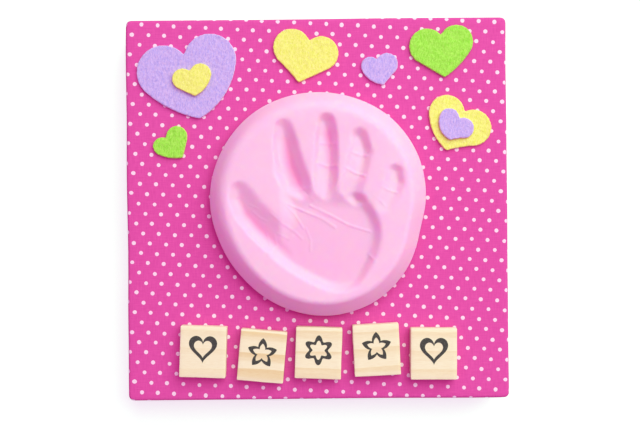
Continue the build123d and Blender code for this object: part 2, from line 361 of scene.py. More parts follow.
put_down()
bpy.ops.mesh.primitive_plane_add(size=table_side)
floor = bpy.context.object
floor.name = "floor"
floor_finish = bpy.data.materials.new("floor_white")
floor_finish.use_nodes = True
table = floor_finish.node_tree
floor_shader = table.nodes["Principled BSDF"]
eye_rays = rays_to_the_eye(table)
feed_all(table, floor_shader, {
    "Base Color": table_colour, "Roughness": 0.9, "Specular IOR Level": 0.1,
    "Emission Color": table_glow, "Emission Strength": eye_rays,
})
table_face = table.nodes.new("ShaderNodeNewGeometry")
from_above = sum_of(table, "GREATER_THAN", eye_rays, table_face.outputs["Backfacing"])
table_clear = table.nodes.new("ShaderNodeBsdfTransparent")
table_choice = mix_shaders(table, from_above, table_clear.outputs[0], floor_shader.outputs[0])
table.links.new(table_choice, table.nodes["Material Output"].inputs["Surface"])
floor.data.materials.append(floor_finish)
print("table", table_side, "m wide")

# %% [markdown]
# ## Effects that several finishes share
#
# A node group is made once and placed in each material with its own numbers. All of them take a
# place in millimetres and give back masks or heights between 0 and 1. The groups here are a plain
# weave, for the cotton and the canvas, matted fibres, for the felt, wood grain, for the tiles and
# the stretcher bars, and the printed dots.


# %% A frame for groups
def new_group(name, inputs, outputs):
    """Make a node group; give back its tree, its inputs and a function that feeds its outputs."""
    tree = bpy.data.node_groups.new(name, "ShaderNodeTree")
    for label, kind, value in inputs:
        socket = tree.interface.new_socket(name=label, in_out="INPUT", socket_type=kind)
        if value is not None:
            socket.default_value = value
    for label in outputs:
        tree.interface.new_socket(name=label, in_out="OUTPUT", socket_type="NodeSocketFloat")
    source = tree.nodes.new("NodeGroupInput")
    target = tree.nodes.new("NodeGroupOutput")

    def give(label, value):
        tree.links.new(value, target.inputs[label])

    return tree, source.outputs, give


def place_group(tree, group, **values):
    node = tree.nodes.new("ShaderNodeGroup")
    node.node_tree = group
    feed_all(tree, node, values)
    return node.outputs


vector_kind = "NodeSocketVector"
number_kind = "NodeSocketFloat"

# %% Plain weave
tree, given, give = new_group(
    "plain_weave",
    [("Place", vector_kind, None), ("Pitch", number_kind, 0.36)],
    ["Height", "Tint", "Slub"],
)
weave_group = tree
threads = vector_sum(tree, "SCALE", given["Place"], sum_of(tree, "DIVIDE", math.pi, given["Pitch"]))
wander = times(tree, noise_of(tree, given["Place"], 0.5), 3.0)
loosened = vector_sum(tree, "ADD", threads, vector_sum(tree, "SCALE", (1, 1, 0), wander))
split = parts_of(tree, loosened)
warp_wave = sum_of(tree, "SINE", split["X"])
weft_wave = sum_of(tree, "SINE", split["Y"])
warp = sum_of(tree, "ABSOLUTE", warp_wave)
weft = sum_of(tree, "ABSOLUTE", weft_wave)
over = ramp(tree, times(tree, warp_wave, weft_wave), -0.3, 0.3)
under = minus(tree, 1.0, over)
streak_x = noise_of(tree, given["Place"], 1.0, 2.0, 0.6, stretch=(0.22, 3.0, 1.0))
streak_y = noise_of(tree, given["Place"], 1.0, 2.0, 0.6, stretch=(3.0, 0.22, 1.0))
give("Height", plus(tree, times(tree, warp, over), times(tree, weft, under)))
give("Tint", times(tree, plus(tree, streak_x, streak_y), 0.5))
give("Slub", ramp(tree, sum_of(tree, "MAXIMUM", streak_x, streak_y), 0.66, 0.82))
print(tree.name, len(tree.nodes), "nodes")

# %% Matted fibres
tree, given, give = new_group(
    "matted_fibres", [("Place", vector_kind, None)], ["Height", "Streak", "Speck"])
fibre_group = tree
curl = tree.nodes.new("ShaderNodeTexNoise")
feed_all(tree, curl, {"Vector": given["Place"], "Scale": 0.45})
curled = vector_sum(tree, "ADD", given["Place"], vector_sum(tree, "SCALE", curl.outputs["Color"], 2.2))
upright_fibres = noise_of(tree, curled, 1.0, 4.0, 0.65, stretch=(2.5, 0.5, 1.0))
lying_fibres = noise_of(tree, curled, 1.3, 4.0, 0.65, stretch=(0.9, 3.2, 1.0))
give("Height", sum_of(tree, "MAXIMUM", upright_fibres, lying_fibres))
give("Streak", ramp(tree, upright_fibres, 0.38, 0.66))
give("Speck", ramp(tree, noise_of(tree, given["Place"], 1.6, 3.0, 0.7), 0.5, 0.72))
print(tree.name, len(tree.nodes), "nodes")

# %% Wood grain
tree, given, give = new_group(
    "wood_grain",
    [("Place", vector_kind, None), ("Ring Width", number_kind, 2.6)],
    ["Late Wood", "Fleck", "Height"],
)
grain_group = tree
bend = noise_of(tree, given["Place"], 0.35, stretch=(0.05, 1.0, 1.0))
split = parts_of(tree, given["Place"])
ring_place = plus(tree, split["Y"], times(tree, split["Z"], 0.6))
ring_place = plus(tree, ring_place, times(tree, bend, 6.0))
phase = sum_of(tree, "FRACT", sum_of(tree, "DIVIDE", ring_place, given["Ring Width"]))
late = times(tree, ramp(tree, phase, 0.45, 0.93), ramp(tree, phase, 0.94, 1.0, 1.0, 0.0))
fleck = noise_of(tree, given["Place"], 1.0, 3.0, 0.6, stretch=(0.35, 6.0, 6.0))
give("Late Wood", late)
give("Fleck", fleck)
give("Height", plus(tree, times(tree, fleck, 0.7), times(tree, late, 0.3)))
print(tree.name, len(tree.nodes), "nodes")

# %% [markdown]
# ### Printed dots
#
# The dots stand on a slanted lattice: one step goes 6.3 mm across and a hair down, the other 2.7
# mm across and 4.1 mm down. A place on the cloth is turned into steps of that lattice, rounded to
# the nearest dot, and the distance to that dot makes the mask. Each dot is nudged and sized a
# little by a random number of its own, because a real print is never quite even.

# %% Dot lattice
dot_step_across = Vector((6.30, -0.364))
dot_step_down = Vector((2.696, -4.071))
first_dot = Vector((-42.74, -2.64))
dot_radius = 0.76
dot_nudge = 0.34

tree, given, give = new_group("printed_dots", [("Place", vector_kind, None)], ["Mask", "Wear"])
dot_group = tree
to_steps = Matrix((
    (dot_step_across.x, dot_step_down.x),
    (dot_step_across.y, dot_step_down.y),
)).inverted()
from_first = vector_sum(tree, "SUBTRACT", given["Place"], (*first_dot, 0))
steps_across = vector_sum(tree, "DOT_PRODUCT", from_first, (*to_steps[0], 0))
steps_down = vector_sum(tree, "DOT_PRODUCT", from_first, (*to_steps[1], 0))
dot_across = sum_of(tree, "ROUND", steps_across)
dot_down = sum_of(tree, "ROUND", steps_down)
dot_number = tree.nodes.new("ShaderNodeCombineXYZ")
feed_all(tree, dot_number, {"X": dot_across, "Y": dot_down})
luck = tree.nodes.new("ShaderNodeTexWhiteNoise")
feed_all(tree, luck, {"Vector": dot_number.outputs[0]})
off_across = vector_sum(tree, "SCALE", (*dot_step_across, 0), minus(tree, steps_across, dot_across))
off_down = vector_sum(tree, "SCALE", (*dot_step_down, 0), minus(tree, steps_down, dot_down))
nudge = vector_sum(tree, "SUBTRACT", luck.outputs["Color"], (0.5, 0.5, 0.5))
flat_nudge = vector_sum(tree, "MULTIPLY", nudge, (dot_nudge, dot_nudge, 0))
from_dot = vector_sum(tree, "ADD", vector_sum(tree, "ADD", off_across, off_down), flat_nudge)
ragged = times(tree, noise_of(tree, given["Place"], 2.2, 3.0, 0.7), 0.30)
distance = plus(tree, vector_sum(tree, "LENGTH", from_dot), ragged)
radius_here = plus(tree, times(tree, luck.outputs["Value"], 0.10), dot_radius + 0.10)
give("Mask", ramp(tree, minus(tree, distance, radius_here), -0.08, 0.10, 1.0, 0.0))
give("Wear", noise_of(tree, given["Place"], 1.1, 3.0, 0.6))
print(tree.name, len(tree.nodes), "nodes")

# %% [markdown]
# ## Finishes
#
# Each finish starts from the same few lines: a Principled shader and a place in millimetres.
# Colours are those of the photograph, in plain light. Cloth, felt and clay are all quite matt, so
# most of what tells them apart is the size of their texture: 0.36 mm threads, half-millimetre
# fibres, nearly smooth clay.


# %% Starting a finish
def new_finish(name, roughness, sheen=0.0, gloss=0.3):
    material = bpy.data.materials.new(name)
    material.use_nodes = True
    shader = material.node_tree.nodes["Principled BSDF"]
    values = {"Roughness": roughness, "Sheen Weight": sheen, "Specular IOR Level": gloss}
    feed_all(material.node_tree, shader, values)
    return material, material.node_tree, shader


def place_on(tree, source="Object"):
    """The place on the piece in millimetres, from its object coordinates or its UV map."""
    coordinates = tree.nodes.new("ShaderNodeTexCoord")
    return vector_sum(tree, "SCALE", coordinates.outputs[source], 1 / mm)


def attribute_of(tree, name):
    node = tree.nodes.new("ShaderNodeAttribute")
    node.attribute_name = name
    return node.outputs["Fac"]


def dress(tree, shader, base, height=None, rise=0.0):
    """Give the shader its colour, and a bumpy surface where there is a height."""
    feed_all(tree, shader, {"Base Color": base})
    if height is not None:
        node = tree.nodes.new("ShaderNodeBump")
        feed_all(tree, node, {"Height": height, "Distance": rise})
        feed_all(tree, shader, {"Normal": node.outputs["Normal"]})


# %% Cotton and canvas
dotted_cotton, tree, shader = new_finish("dotted_cotton", 0.88, sheen=0.12, gloss=0.2)
place = place_on(tree, "UV")
weave = place_group(tree, weave_group, Place=place, Pitch=0.36)
dots = place_group(tree, dot_group, Place=place)
pink = mix(tree, ramp(tree, weave["Tint"], 0.30, 0.70), colour(221, 75, 166), colour(233, 88, 178))
pink = mix(tree, times(tree, weave["Slub"], 0.15), pink, colour(255, 140, 212))
dot_white = mix(tree, dots["Wear"], colour(250, 208, 238), colour(255, 240, 252))
dress(tree, shader, mix(tree, dots["Mask"], pink, dot_white), weave["Height"], 0.04 * mm)

canvas_cloth, tree, shader = new_finish("canvas_cloth", 0.9, gloss=0.2)
weave = place_group(tree, weave_group, Place=place_on(tree, "UV"), Pitch=0.62)
linen = mix(tree, ramp(tree, weave["Tint"], 0.35, 0.65), colour(214, 205, 186), colour(236, 230, 216))
linen = mix(tree, times(tree, weave["Slub"], 0.4), linen, colour(196, 184, 160))
dress(tree, shader, linen, weave["Height"], 0.15 * mm)
print(dotted_cotton.name, canvas_cloth.name)


# %% Felt
def felt_finish(name, base, streak, speck, painted_edge_light):
    material, tree, shader = new_finish(name, 0.95, sheen=0.2, gloss=0.1)
    fibres = place_group(tree, fibre_group, Place=place_on(tree))
    felt = mix(tree, fibres["Streak"], base, streak)
    felt = mix(tree, times(tree, fibres["Speck"], 0.6), felt, speck)
    # Painted light: the rounded edges and sides of the felt get a paler, pinker colour than its top.
    felt = mix(tree, times(tree, attribute_of(tree, "edge_painted_light"), 0.7), felt, painted_edge_light)
    dress(tree, shader, felt, fibres["Height"], 0.3 * mm)
    print(name)
    return material


# Each felt: its colour, its streaks, its specks and the painted light on its edges.
felt_colours = {
    "felt_lilac": ((217, 190, 250), (182, 164, 242), (232, 214, 255), (252, 214, 244)),
    "felt_yellow": ((252, 252, 142), (234, 238, 96), (255, 255, 184), (255, 230, 150)),
    "felt_green": ((178, 248, 96), (142, 226, 60), (206, 255, 130), (222, 232, 120)),
}
felts = {}
for name, shades in felt_colours.items():
    felts[name] = felt_finish(name, *(colour(*shade) for shade in shades))

# %% Clay
pink_clay, tree, shader = new_finish("pink_clay", 0.72, gloss=0.18)
clay_place = place_on(tree)
mottle = noise_of(tree, clay_place, 0.12, 3.0, 0.55)
clay = mix(tree, mottle, colour(255, 202, 232), colour(255, 208, 236))
# Painted shade: steep slopes of the clay get a deeper pink, for the shade on the walls and the rim.
clay = mix(tree, attribute_of(tree, "slope"), clay, colour(255, 192, 226))
# Painted shade: the deepest parts of the print get a deeper pink, for the shade in the hollows.
clay = mix(tree, attribute_of(tree, "painted_deep_shade"), clay, colour(255, 164, 216))
dress(tree, shader, clay, noise_of(tree, clay_place, 3.5, 3.0, 0.6), 0.03 * mm)
feed_all(tree, shader, {
    "Subsurface Weight": 0.8, "Subsurface Radius": (1.0, 0.08, 0.5), "Subsurface Scale": 6 * mm,
})
print(pink_clay.name)


# %% Wood
def pine_finish(name, pale, tan, ring_width, centre, turn, strength):
    """Pine with its grain along X after the turn; the centre and the turn are the piece's own."""
    material, tree, shader = new_finish(name, 0.6, gloss=0.3)
    coordinates = tree.nodes.new("ShaderNodeTexCoord")
    mapping = tree.nodes.new("ShaderNodeMapping")
    mapping.vector_type = "TEXTURE"
    spot = coordinates.outputs["Object"]
    feed_all(tree, mapping, {"Vector": spot, "Location": centre, "Rotation": (0, 0, turn)})
    place = vector_sum(tree, "SCALE", mapping.outputs["Vector"], 1 / mm)
    own_shift = (centre[0] * 7000, centre[1] * 3000, centre[0] * 2000)
    shifted = vector_sum(tree, "ADD", place, own_shift)
    grain = place_group(tree, grain_group, **{"Place": shifted, "Ring Width": ring_width})
    fleck_share = times(tree, ramp(tree, grain["Fleck"], 0.4, 0.7), 0.25)
    tan_share = plus(tree, times(tree, grain["Late Wood"], strength), fleck_share)
    dress(tree, shader, mix(tree, tan_share, pale, tan), grain["Height"], 0.06 * mm)
    return material


# %% Steel, foam and ink
staple_steel, tree, shader = new_finish("staple_steel", 0.35)
scuff = noise_of(tree, place_on(tree), 1.8, 3.0, 0.6)
dress(tree, shader, mix(tree, scuff, colour(178, 180, 184), colour(214, 215, 218)))
feed_all(tree, shader, {"Metallic": 1, "Roughness": ramp(tree, scuff, 0.3, 0.7, 0.28, 0.5)})

adhesive_pad, tree, shader = new_finish("adhesive_pad", 0.8)
foam = noise_of(tree, place_on(tree), 2.5, 3.0, 0.6)
dress(tree, shader, mix(tree, foam, colour(232, 231, 226), colour(248, 247, 244)), foam, 0.1 * mm)

printed_ink, tree, shader = new_finish("printed_ink", 0.55)
blotch = ramp(tree, noise_of(tree, place_on(tree), 1.6, 4.0, 0.7), 0.45, 0.75)
dress(tree, shader, mix(tree, blotch, colour(56, 53, 52), colour(96, 90, 86)))
print(staple_steel.name, adhesive_pad.name, printed_ink.name)

# %% Pieces that stay as the solid model has them
plain_pieces = [
    ("corner_staples", staple_steel),
    ("canvas_staples", staple_steel),
    ("cover_staples", staple_steel),
    ("disc_adhesive_pads", adhesive_pad),
    ("tile_adhesive_pads", adhesive_pad),
]
for side, turn in (("bottom", 0), ("top", 0), ("left", math.pi / 2), ("right", math.pi / 2)):
    bar_middle = sum(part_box("stretcher_bar_" + side), Vector()) / 2
    bar_pine = pine_finish("stretcher_pine_" + side, colour(228, 198, 150), colour(196, 150, 96), 3.4,
                           tuple(bar_middle), turn, 0.8)
    plain_pieces.append(("stretcher_bar_" + side, bar_pine))
for node, material in plain_pieces:
    nodes[node].data.materials.clear()
    nodes[node].data.materials.append(material)
print(len(plain_pieces), "nodes keep their own form")

# %% [markdown]
# ## The two cloths
#
# The canvas and the cotton are both wrapped over the board: across the front, down the sides and
# under to a hem at the back. Each is modelled as a box with eased edges. Straight cuts then
# divide it into a net of small faces, and the middle of its back is taken out, which leaves a
# skin that can wave a little. The UV map is the flat cloth before it was wrapped, in metres, so
# that the dots run over the edges.


# %% Wrapping a cloth over the board
def cloth_uv(piece, half, front):
    """Lay the wrapped skin out flat: a point on a side goes out by its way down from the front."""
    while piece.data.uv_layers:
        piece.data.uv_layers.remove(piece.data.uv_layers[0])
    layer = piece.data.uv_layers.new(name="flat_cloth")
    for face in piece.data.polygons:
        lead = face.center if abs(face.normal.z) > 0.9 else face.normal
        along_x = abs(lead.x) > abs(lead.y)
        behind = face.normal.z < -0.5
        for loop in face.loop_indices:
            x, y, z = piece.data.vertices[piece.data.loops[loop].vertex_index].co
            out = abs(x) if along_x else abs(y)
            reach = front - z + (2 * half - out if behind else out)
            if along_x:
                layer.data[loop].uv = math.copysign(reach, x), y
            else:
                layer.data[loop].uv = x, math.copysign(reach, y)


def wrap_cloth(name, node, thickness, hem, front_ease, back_ease, corner, cell):
    low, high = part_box(node)
    half = (high.x - low.x) / 2
    put_down()
    bpy.ops.mesh.primitive_cube_add(size=1, location=(low + high) / 2, scale=high - low)
    cloth = fix_place(bpy.context.object, name)
    edit(cloth)
    pick(cloth, "edges", lambda edge: abs(edge.verts[0].co.z - edge.verts[1].co.z) > thickness)
    bpy.ops.mesh.bevel(offset=corner, segments=5)
    pick(cloth, "edges", lambda edge: min(point.co.z for point in edge.verts) > high.z - thickness / 4)
    bpy.ops.mesh.bevel(offset=front_ease, segments=4)
    pick(cloth, "edges", lambda edge: max(point.co.z for point in edge.verts) < low.z + thickness / 4)
    bpy.ops.mesh.bevel(offset=back_ease, segments=3)
    opening = half - hem
    lines = [cell * step - half for step in range(1, round(2 * half / cell))]
    for line in lines + [-opening, opening]:
        for normal, spot in (((1, 0, 0), (line, 0, 0)), ((0, 1, 0), (0, line, 0))):
            cut_through(spot, normal)
    for slant in ((1, 1, 0), (1, -1, 0)):
        cut_through((0, 0, 0), slant)
    for level in (0.25, 0.5, 0.75):
        cut_through((0, 0, low.z + level * (high.z - low.z)), (0, 0, 1))
    pick(cloth, "faces", lambda face: face.normal.z < -0.9
         and max(abs(face.calc_center_median().x), abs(face.calc_center_median().y)) < opening)
    bpy.ops.mesh.delete(type="FACE")
    put_down()
    cloth_uv(cloth, half, high.z)
    return cloth


def give_cloth_body(cloth, thickness):
    solid = cloth.modifiers.new("thickness", "SOLIDIFY")
    solid.thickness = thickness
    solid.offset = -1
    apply_all(cloth)
    smooth_by_angle(cloth, 50)


cotton_thickness = 0.35 * mm
cotton_hem = 17 * mm
canvas_thickness = 0.45 * mm
canvas_hem = 14 * mm

canvas = wrap_cloth("stretched_canvas", "canvas", canvas_thickness, canvas_hem,
                    0.8 * mm, 0.5 * mm, 1.2 * mm, 6 * mm)
give_cloth_body(canvas, canvas_thickness)
finish_piece(canvas, canvas_cloth, "canvas_cloth", "canvas")

# %% [markdown]
# The cotton is softer than the canvas. Its edges are not ruled lines: they wander by a few tenths
# of a millimetre between the staples, and the front has faint pulls towards the edges. Smooth
# noise moves the points, the sides sideways and the front up and down, always far less than the
# cloth is thick.

# %% Polka-dot cover
edge_wander = 0.45 * mm
fold_depth = 0.35 * mm
front_ripple = 0.10 * mm
quick_waves = 42
slow_waves = 18
edge_band = 2 * mm
front_band = 1.2 * mm

cotton = wrap_cloth("cotton_cover", "fabric_cover", cotton_thickness, cotton_hem,
                    1.2 * mm, 0.8 * mm, 2.2 * mm, 3 * mm)
half_board = board_side / 2
points = points_of(cotton)
for spot in points:
    x, y, z = spot
    wave = noise.noise(Vector((x * quick_waves, y * quick_waves, 0.7)))
    slow = noise.noise(Vector((x * slow_waves, y * slow_waves, 4.2)))
    rim = max(abs(x), abs(y)) / half_board
    if z > board_front / 4:
        if abs(x) > half_board - edge_band:
            spot[0] += math.copysign(edge_wander * (wave + 1) / 2, x)
        if abs(y) > half_board - edge_band:
            spot[1] += math.copysign(edge_wander * (slow + 1) / 2, y)
    if z < cotton_thickness and abs(abs(x) - abs(y)) < 0.01 * mm:
        spot[2] += fold_depth
    if z > board_front - front_band:
        spot[2] += front_ripple * (wave * 0.6 + slow) * rim ** 3
move_points(cotton, points)
give_cloth_body(cotton, cotton_thickness)
finish_piece(cotton, dotted_cotton, "dotted_cotton", "fabric_cover")


# %% [markdown]
# ## The clay disc
#
# The disc was patted flat by hand and a small hand pressed into it, so nothing on it is quite
# round or quite flat. A square grid is wrapped into a disc, which keeps its faces even in size
# from the middle to the rim. Its outline follows a few measured radii. The rim rolls over in one
# smooth curve, and the hand is pressed in as a height field: each finger is a valley along its
# own line.

# %% The outline and the rolled rim
disc_low, disc_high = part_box("clay_disc")
disc_radius = 43 * mm
disc_middle = Vector((0, 1.9 * mm))
disc_top = disc_high.z
disc_bottom = disc_low.z
rim_arc = 11.4 * mm
foot_inset = 1.6 * mm
rolled_share = 0.26
grid_lines = 280
outline_shares = (
    (0, 0.985), (25, 1.019), (50, 1.033), (75, 1.019), (100, 1.014), (125, 1.012), (150, 0.993),
    (175, 0.979), (200, 0.949), (225, 0.951), (250, 0.984), (275, 1.020), (300, 1.031), (325, 1.003),
    (347, 0.956),
)


def outline_radius(angles):
    """The disc's radius at each angle: a smooth closed curve through the measured radii."""
    known, shares = np.array(outline_shares).T
    fine = np.arange(-40, 401)
    window = np.hanning(25)
    smooth = np.interp(fine, known, shares, period=360)
    smooth = np.convolve(smooth, window / window.sum(), mode="same")
    return disc_radius * np.interp(np.degrees(angles) % 360, fine, smooth)


def square_to_disc(across, up):
    """Wrap the square from -1 to 1 into the unit disc: each point's distance and angle."""
    wide = np.abs(across) > np.abs(up)
    reach = np.where(wide, across, up)
    other = np.where(wide, up, across)
    share = np.divide(other, reach, out=np.zeros_like(reach), where=reach != 0)
    angle = np.where(wide, share * math.pi / 4, math.pi / 2 - share * math.pi / 4)
    return np.abs(reach), angle + np.where(reach < 0, math.pi, 0)


def eased(share):
    share = np.clip(share, 0, 1)
    return share * share * (3 - 2 * share)


rim_steps = np.linspace(0, 1, 201)


def rim_profile(ease_share, slope_deg):
    """How far out and down the rim goes: it eases over to the slope, holds it and turns down."""
    over = slope_deg * eased(rim_steps / ease_share)
    tilt = np.radians(over + (90 - slope_deg) * eased((rim_steps - 0.87) / 0.13))
    out = rim_arc * np.cumsum(np.cos(tilt)) / len(rim_steps)
    down = rim_arc * np.cumsum(np.sin(tilt)) / len(rim_steps)
    return out, down


soft_out, soft_down = rim_profile(0.66, 42)
steep_out, steep_down = rim_profile(0.32, 52)
rim_drop = steep_down[-1]
print("rim width in mm", round(soft_out[-1] / mm, 1), "to", round(steep_out[-1] / mm, 1))

put_down()
bpy.ops.mesh.primitive_grid_add(x_subdivisions=grid_lines, y_subdivisions=grid_lines, size=2)
disc = fix_place(bpy.context.object, "clay_handprint")
points = points_of(disc)
reach, angle = square_to_disc(points[:, 0], points[:, 1])
radius = outline_radius(angle)
roll = np.clip((reach - 1 + rolled_share) / rolled_share, 0, 1)
flat_reach = np.minimum(reach / (1 - rolled_share), 1)
steepness = eased(0.5 - 0.5 * np.sin(angle - math.radians(25)))
rim_width = soft_out[-1] + (steep_out[-1] - soft_out[-1]) * steepness
soft_reach = np.interp(roll, rim_steps, soft_out)
steep_reach = np.interp(roll, rim_steps, steep_out)
rim_out = soft_reach * (1 - steepness) + steep_reach * steepness
soft_share = np.interp(roll, rim_steps, soft_down) / soft_down[-1]
steep_share = np.interp(roll, rim_steps, steep_down) / steep_down[-1]
distance = flat_reach * (radius - rim_width) + rim_out
points[:, 0] = disc_middle.x + distance * np.cos(angle)
points[:, 1] = disc_middle.y + distance * np.sin(angle)
points[:, 2] = disc_top - rim_drop * (soft_share * (1 - steepness) + steep_share * steepness)

# %% [markdown]
# ### Pressing the hand in
#
# Light from the upper right shows how the hand went in. In every finger one side is a long slope
# and the other is short and steep, with the deepest line between them. So each valley is a list
# of stations down its deepest line: place, width to the left, width to the right and depth. The
# palm is a shallow pan inside its own outline. A smooth maximum joins them without a ridge.

# %% Valleys and the palm
# Stations: across, up, left width, right width and depth, in millimetres, from the tip to the root.
finger_valleys = {
    "index": ((-13.0, 30.8, 3.4, 5.0, 2.7), (-11.8, 26.4, 5.2, 5.2, 4.2), (-10.8, 20.7, 5.8, 5.6, 4.7),
              (-9.6, 15.2, 6.2, 6.4, 5.0), (-7.6, 10.4, 6.4, 6.2, 4.9), (-5.2, 4.0, 6.0, 6.4, 3.0)),
    "middle": ((3.4, 32.8, 3.2, 5.0, 3.6), (4.6, 28.2, 5.2, 4.2, 4.7), (5.4, 20.5, 6.8, 3.4, 4.1),
               (5.0, 14.1, 6.8, 3.8, 3.9), (4.2, 8.7, 6.0, 4.8, 3.4), (3.2, 3.0, 5.4, 6.6, 2.9)),
    "ring": ((16.4, 27.2, 3.4, 4.4, 3.0), (18.2, 22.3, 5.8, 3.4, 3.3), (17.2, 16.6, 6.8, 3.6, 2.5),
             (15.6, 10.9, 6.6, 4.2, 2.1), (13.6, 6.0, 5.8, 4.8, 2.4)),
    "little": ((30.4, 13.8, 3.4, 3.4, 2.4), (30.9, 10.2, 4.8, 3.0, 2.6), (29.4, 5.6, 5.2, 3.2, 1.7),
               (26.6, 1.2, 4.8, 3.6, 1.1)),
    "thumb": ((-30.8, 6.6, 2.4, 6.2, 2.8), (-30.2, 3.4, 3.0, 8.2, 3.8),
              (-27.6, -2.0, 3.6, 9.2, 4.4), (-22.8, -7.6, 3.8, 10.0, 4.5),
              (-16.8, -13.2, 4.0, 10.0, 4.2), (-11.0, -17.6, 4.2, 9.0, 3.9)),
    "web_pit": ((14.2, 4.2, 5.2, 4.2, 3.6), (15.6, 2.6, 5.2, 4.2, 3.9)),
}
# The palm's outline, across and up, and the width of its wall there.
palm_outline = (
    (-14.4, 9.0, 6.5), (-8.0, 10.8, 10.0), (1.0, 10.8, 10.0), (9.6, 9.2, 9.0), (16.0, 7.0, 7.5),
    (20.4, 4.0, 6.0), (23.4, -1.0, 5.0), (25.2, -6.4, 4.8), (25.4, -12.1, 4.8), (23.8, -18.0, 4.6),
    (20.4, -24.0, 3.6), (16.6, -29.4, 3.6), (11.2, -32.4, 3.8), (4.4, -31.9, 3.8), (-3.8, -28.3, 4.0),
    (-11.4, -23.8, 4.0), (-18.2, -18.2, 4.2), (-21.0, -12.0, 6.0), (-17.5, -6.0, 8.0),
    (-14.6, -1.5, 7.0), (-15.0, 5.0, 6.0),
)
palm_depth = 3.3 * mm
palm_tilt = 0.01
palm_tilt_bearing = math.radians(235)
valley_blend = 0.35 * mm
press_blur = 0.6 * mm


def from_line(across, up, start, end):
    """The nearest place on the line to each point, as a share of its length, and the offset."""
    run_x, run_y = end[0] - start[0], end[1] - start[1]
    along = (across - start[0]) * run_x + (up - start[1]) * run_y
    share = np.clip(along / (run_x ** 2 + run_y ** 2), 0, 1)
    return share, across - start[0] - share * run_x, up - start[1] - share * run_y


def valley(across, up, stations):
    """Depth of one valley: deepest on the line through the stations, nothing past the widths."""
    deepest = np.zeros_like(across)
    stations = np.array(stations) * mm
    for first, last in zip(stations, stations[1:]):
        share, off_x, off_y = from_line(across, up, first, last)
        distance = np.hypot(off_x, off_y)
        run_x, run_y = (last - first)[:2]
        side = (run_x * off_y - run_y * off_x) / (math.hypot(run_x, run_y) * np.maximum(distance, 1e-9))
        left, right, depth = (first[part] + (last[part] - first[part]) * share for part in (2, 3, 4))
        # Walking from the tip to the root, the picture's left is on the walker's right.
        leftness = (1 - side) / 2
        width = right + (left - right) * leftness
        inside = np.clip(1 - distance / width, 0, 1)
        long_slope = 0.35 * eased(inside / 0.3) + 0.65 * inside
        short_slope = 0.3 * inside + 0.7 * eased(inside)
        shape = long_slope * leftness + short_slope * (1 - leftness)
        deepest = np.maximum(deepest, depth * shape)
    return deepest


def closed_curve(corners, per_corner):
    """A smooth closed line through the corners."""
    corners = np.array(corners) * mm
    line = []
    for index in range(len(corners)):
        before, start, end, after = (corners[(index + step) % len(corners)] for step in (-1, 0, 1, 2))
        for share in np.arange(per_corner) / per_corner:
            line.append(0.5 * (2 * start + (end - before) * share
                               + (2 * before - 5 * start + 4 * end - after) * share ** 2
                               + (3 * start - before - 3 * end + after) * share ** 3))
    return np.array(line)


def wall_share_inside(across, up, outline):
    """How far down the wall each point is: 0 outside the outline, 1 past the wall's width."""
    lowest = np.full(across.shape, 1.0)
    crossings = np.zeros(across.shape, dtype=int)
    for start, end in zip(outline, np.roll(outline, -1, axis=0)):
        share, off_x, off_y = from_line(across, up, start, end)
        lowest = np.minimum(lowest, np.hypot(off_x, off_y) / (start[2] + (end[2] - start[2]) * share))
        x0, y0, x1, y1 = *start[:2], *end[:2]
        if y0 != y1:
            crossings += ((y0 > up) != (y1 > up)) & (across < (x1 - x0) * (up - y0) / (y1 - y0) + x0)
    return np.where(crossings % 2 == 1, lowest, 0)


def soften(field, width):
    """Blur a field on the grid's points over a width, as soft clay blurs an edge."""
    side = grid_lines + 1
    steps = round(3 * width / (2 * disc_radius / grid_lines))
    weights = np.exp(-0.5 * (np.arange(-steps, steps + 1) * 3 / steps) ** 2)
    weights /= weights.sum()
    field = field.reshape(side, side)
    for axis in (0, 1):
        field = np.apply_along_axis(lambda line: np.convolve(line, weights, mode="same"), axis, field)
    return field.ravel()


def smooth_max(first, second, blend):
    gap = np.clip(0.5 + 0.5 * (first - second) / blend, 0, 1)
    return second + (first - second) * gap + blend * gap * (1 - gap)


across, up = points[:, 0], points[:, 1]
wall_share = wall_share_inside(across, up, closed_curve(palm_outline, 6))
towards_thumb = across * math.cos(palm_tilt_bearing) + up * math.sin(palm_tilt_bearing)
pressed = (palm_depth + palm_tilt * towards_thumb) * wall_share ** 2 * (3 - 2 * wall_share)
for stations in finger_valleys.values():
    pressed = smooth_max(pressed, valley(across, up, stations), valley_blend)
pressed = soften(pressed, press_blur)

# %% [markdown]
# ### Creases and hills
#
# A crease in skin leaves a fine raised line in clay. The lines are thin ridges along short chains
# of points, in the finger joints and over the palm. The whole face keeps the faint hills of the
# hand that patted it.

# %% Creases and hills
hill_height = 0.16 * mm
broad_hills = 38
small_hills = 110
# The painted shade of the deepest hollows starts at this depth and is full this much deeper.
painted_deep_shade_from = 2.7 * mm
painted_deep_shade_span = 2.2 * mm
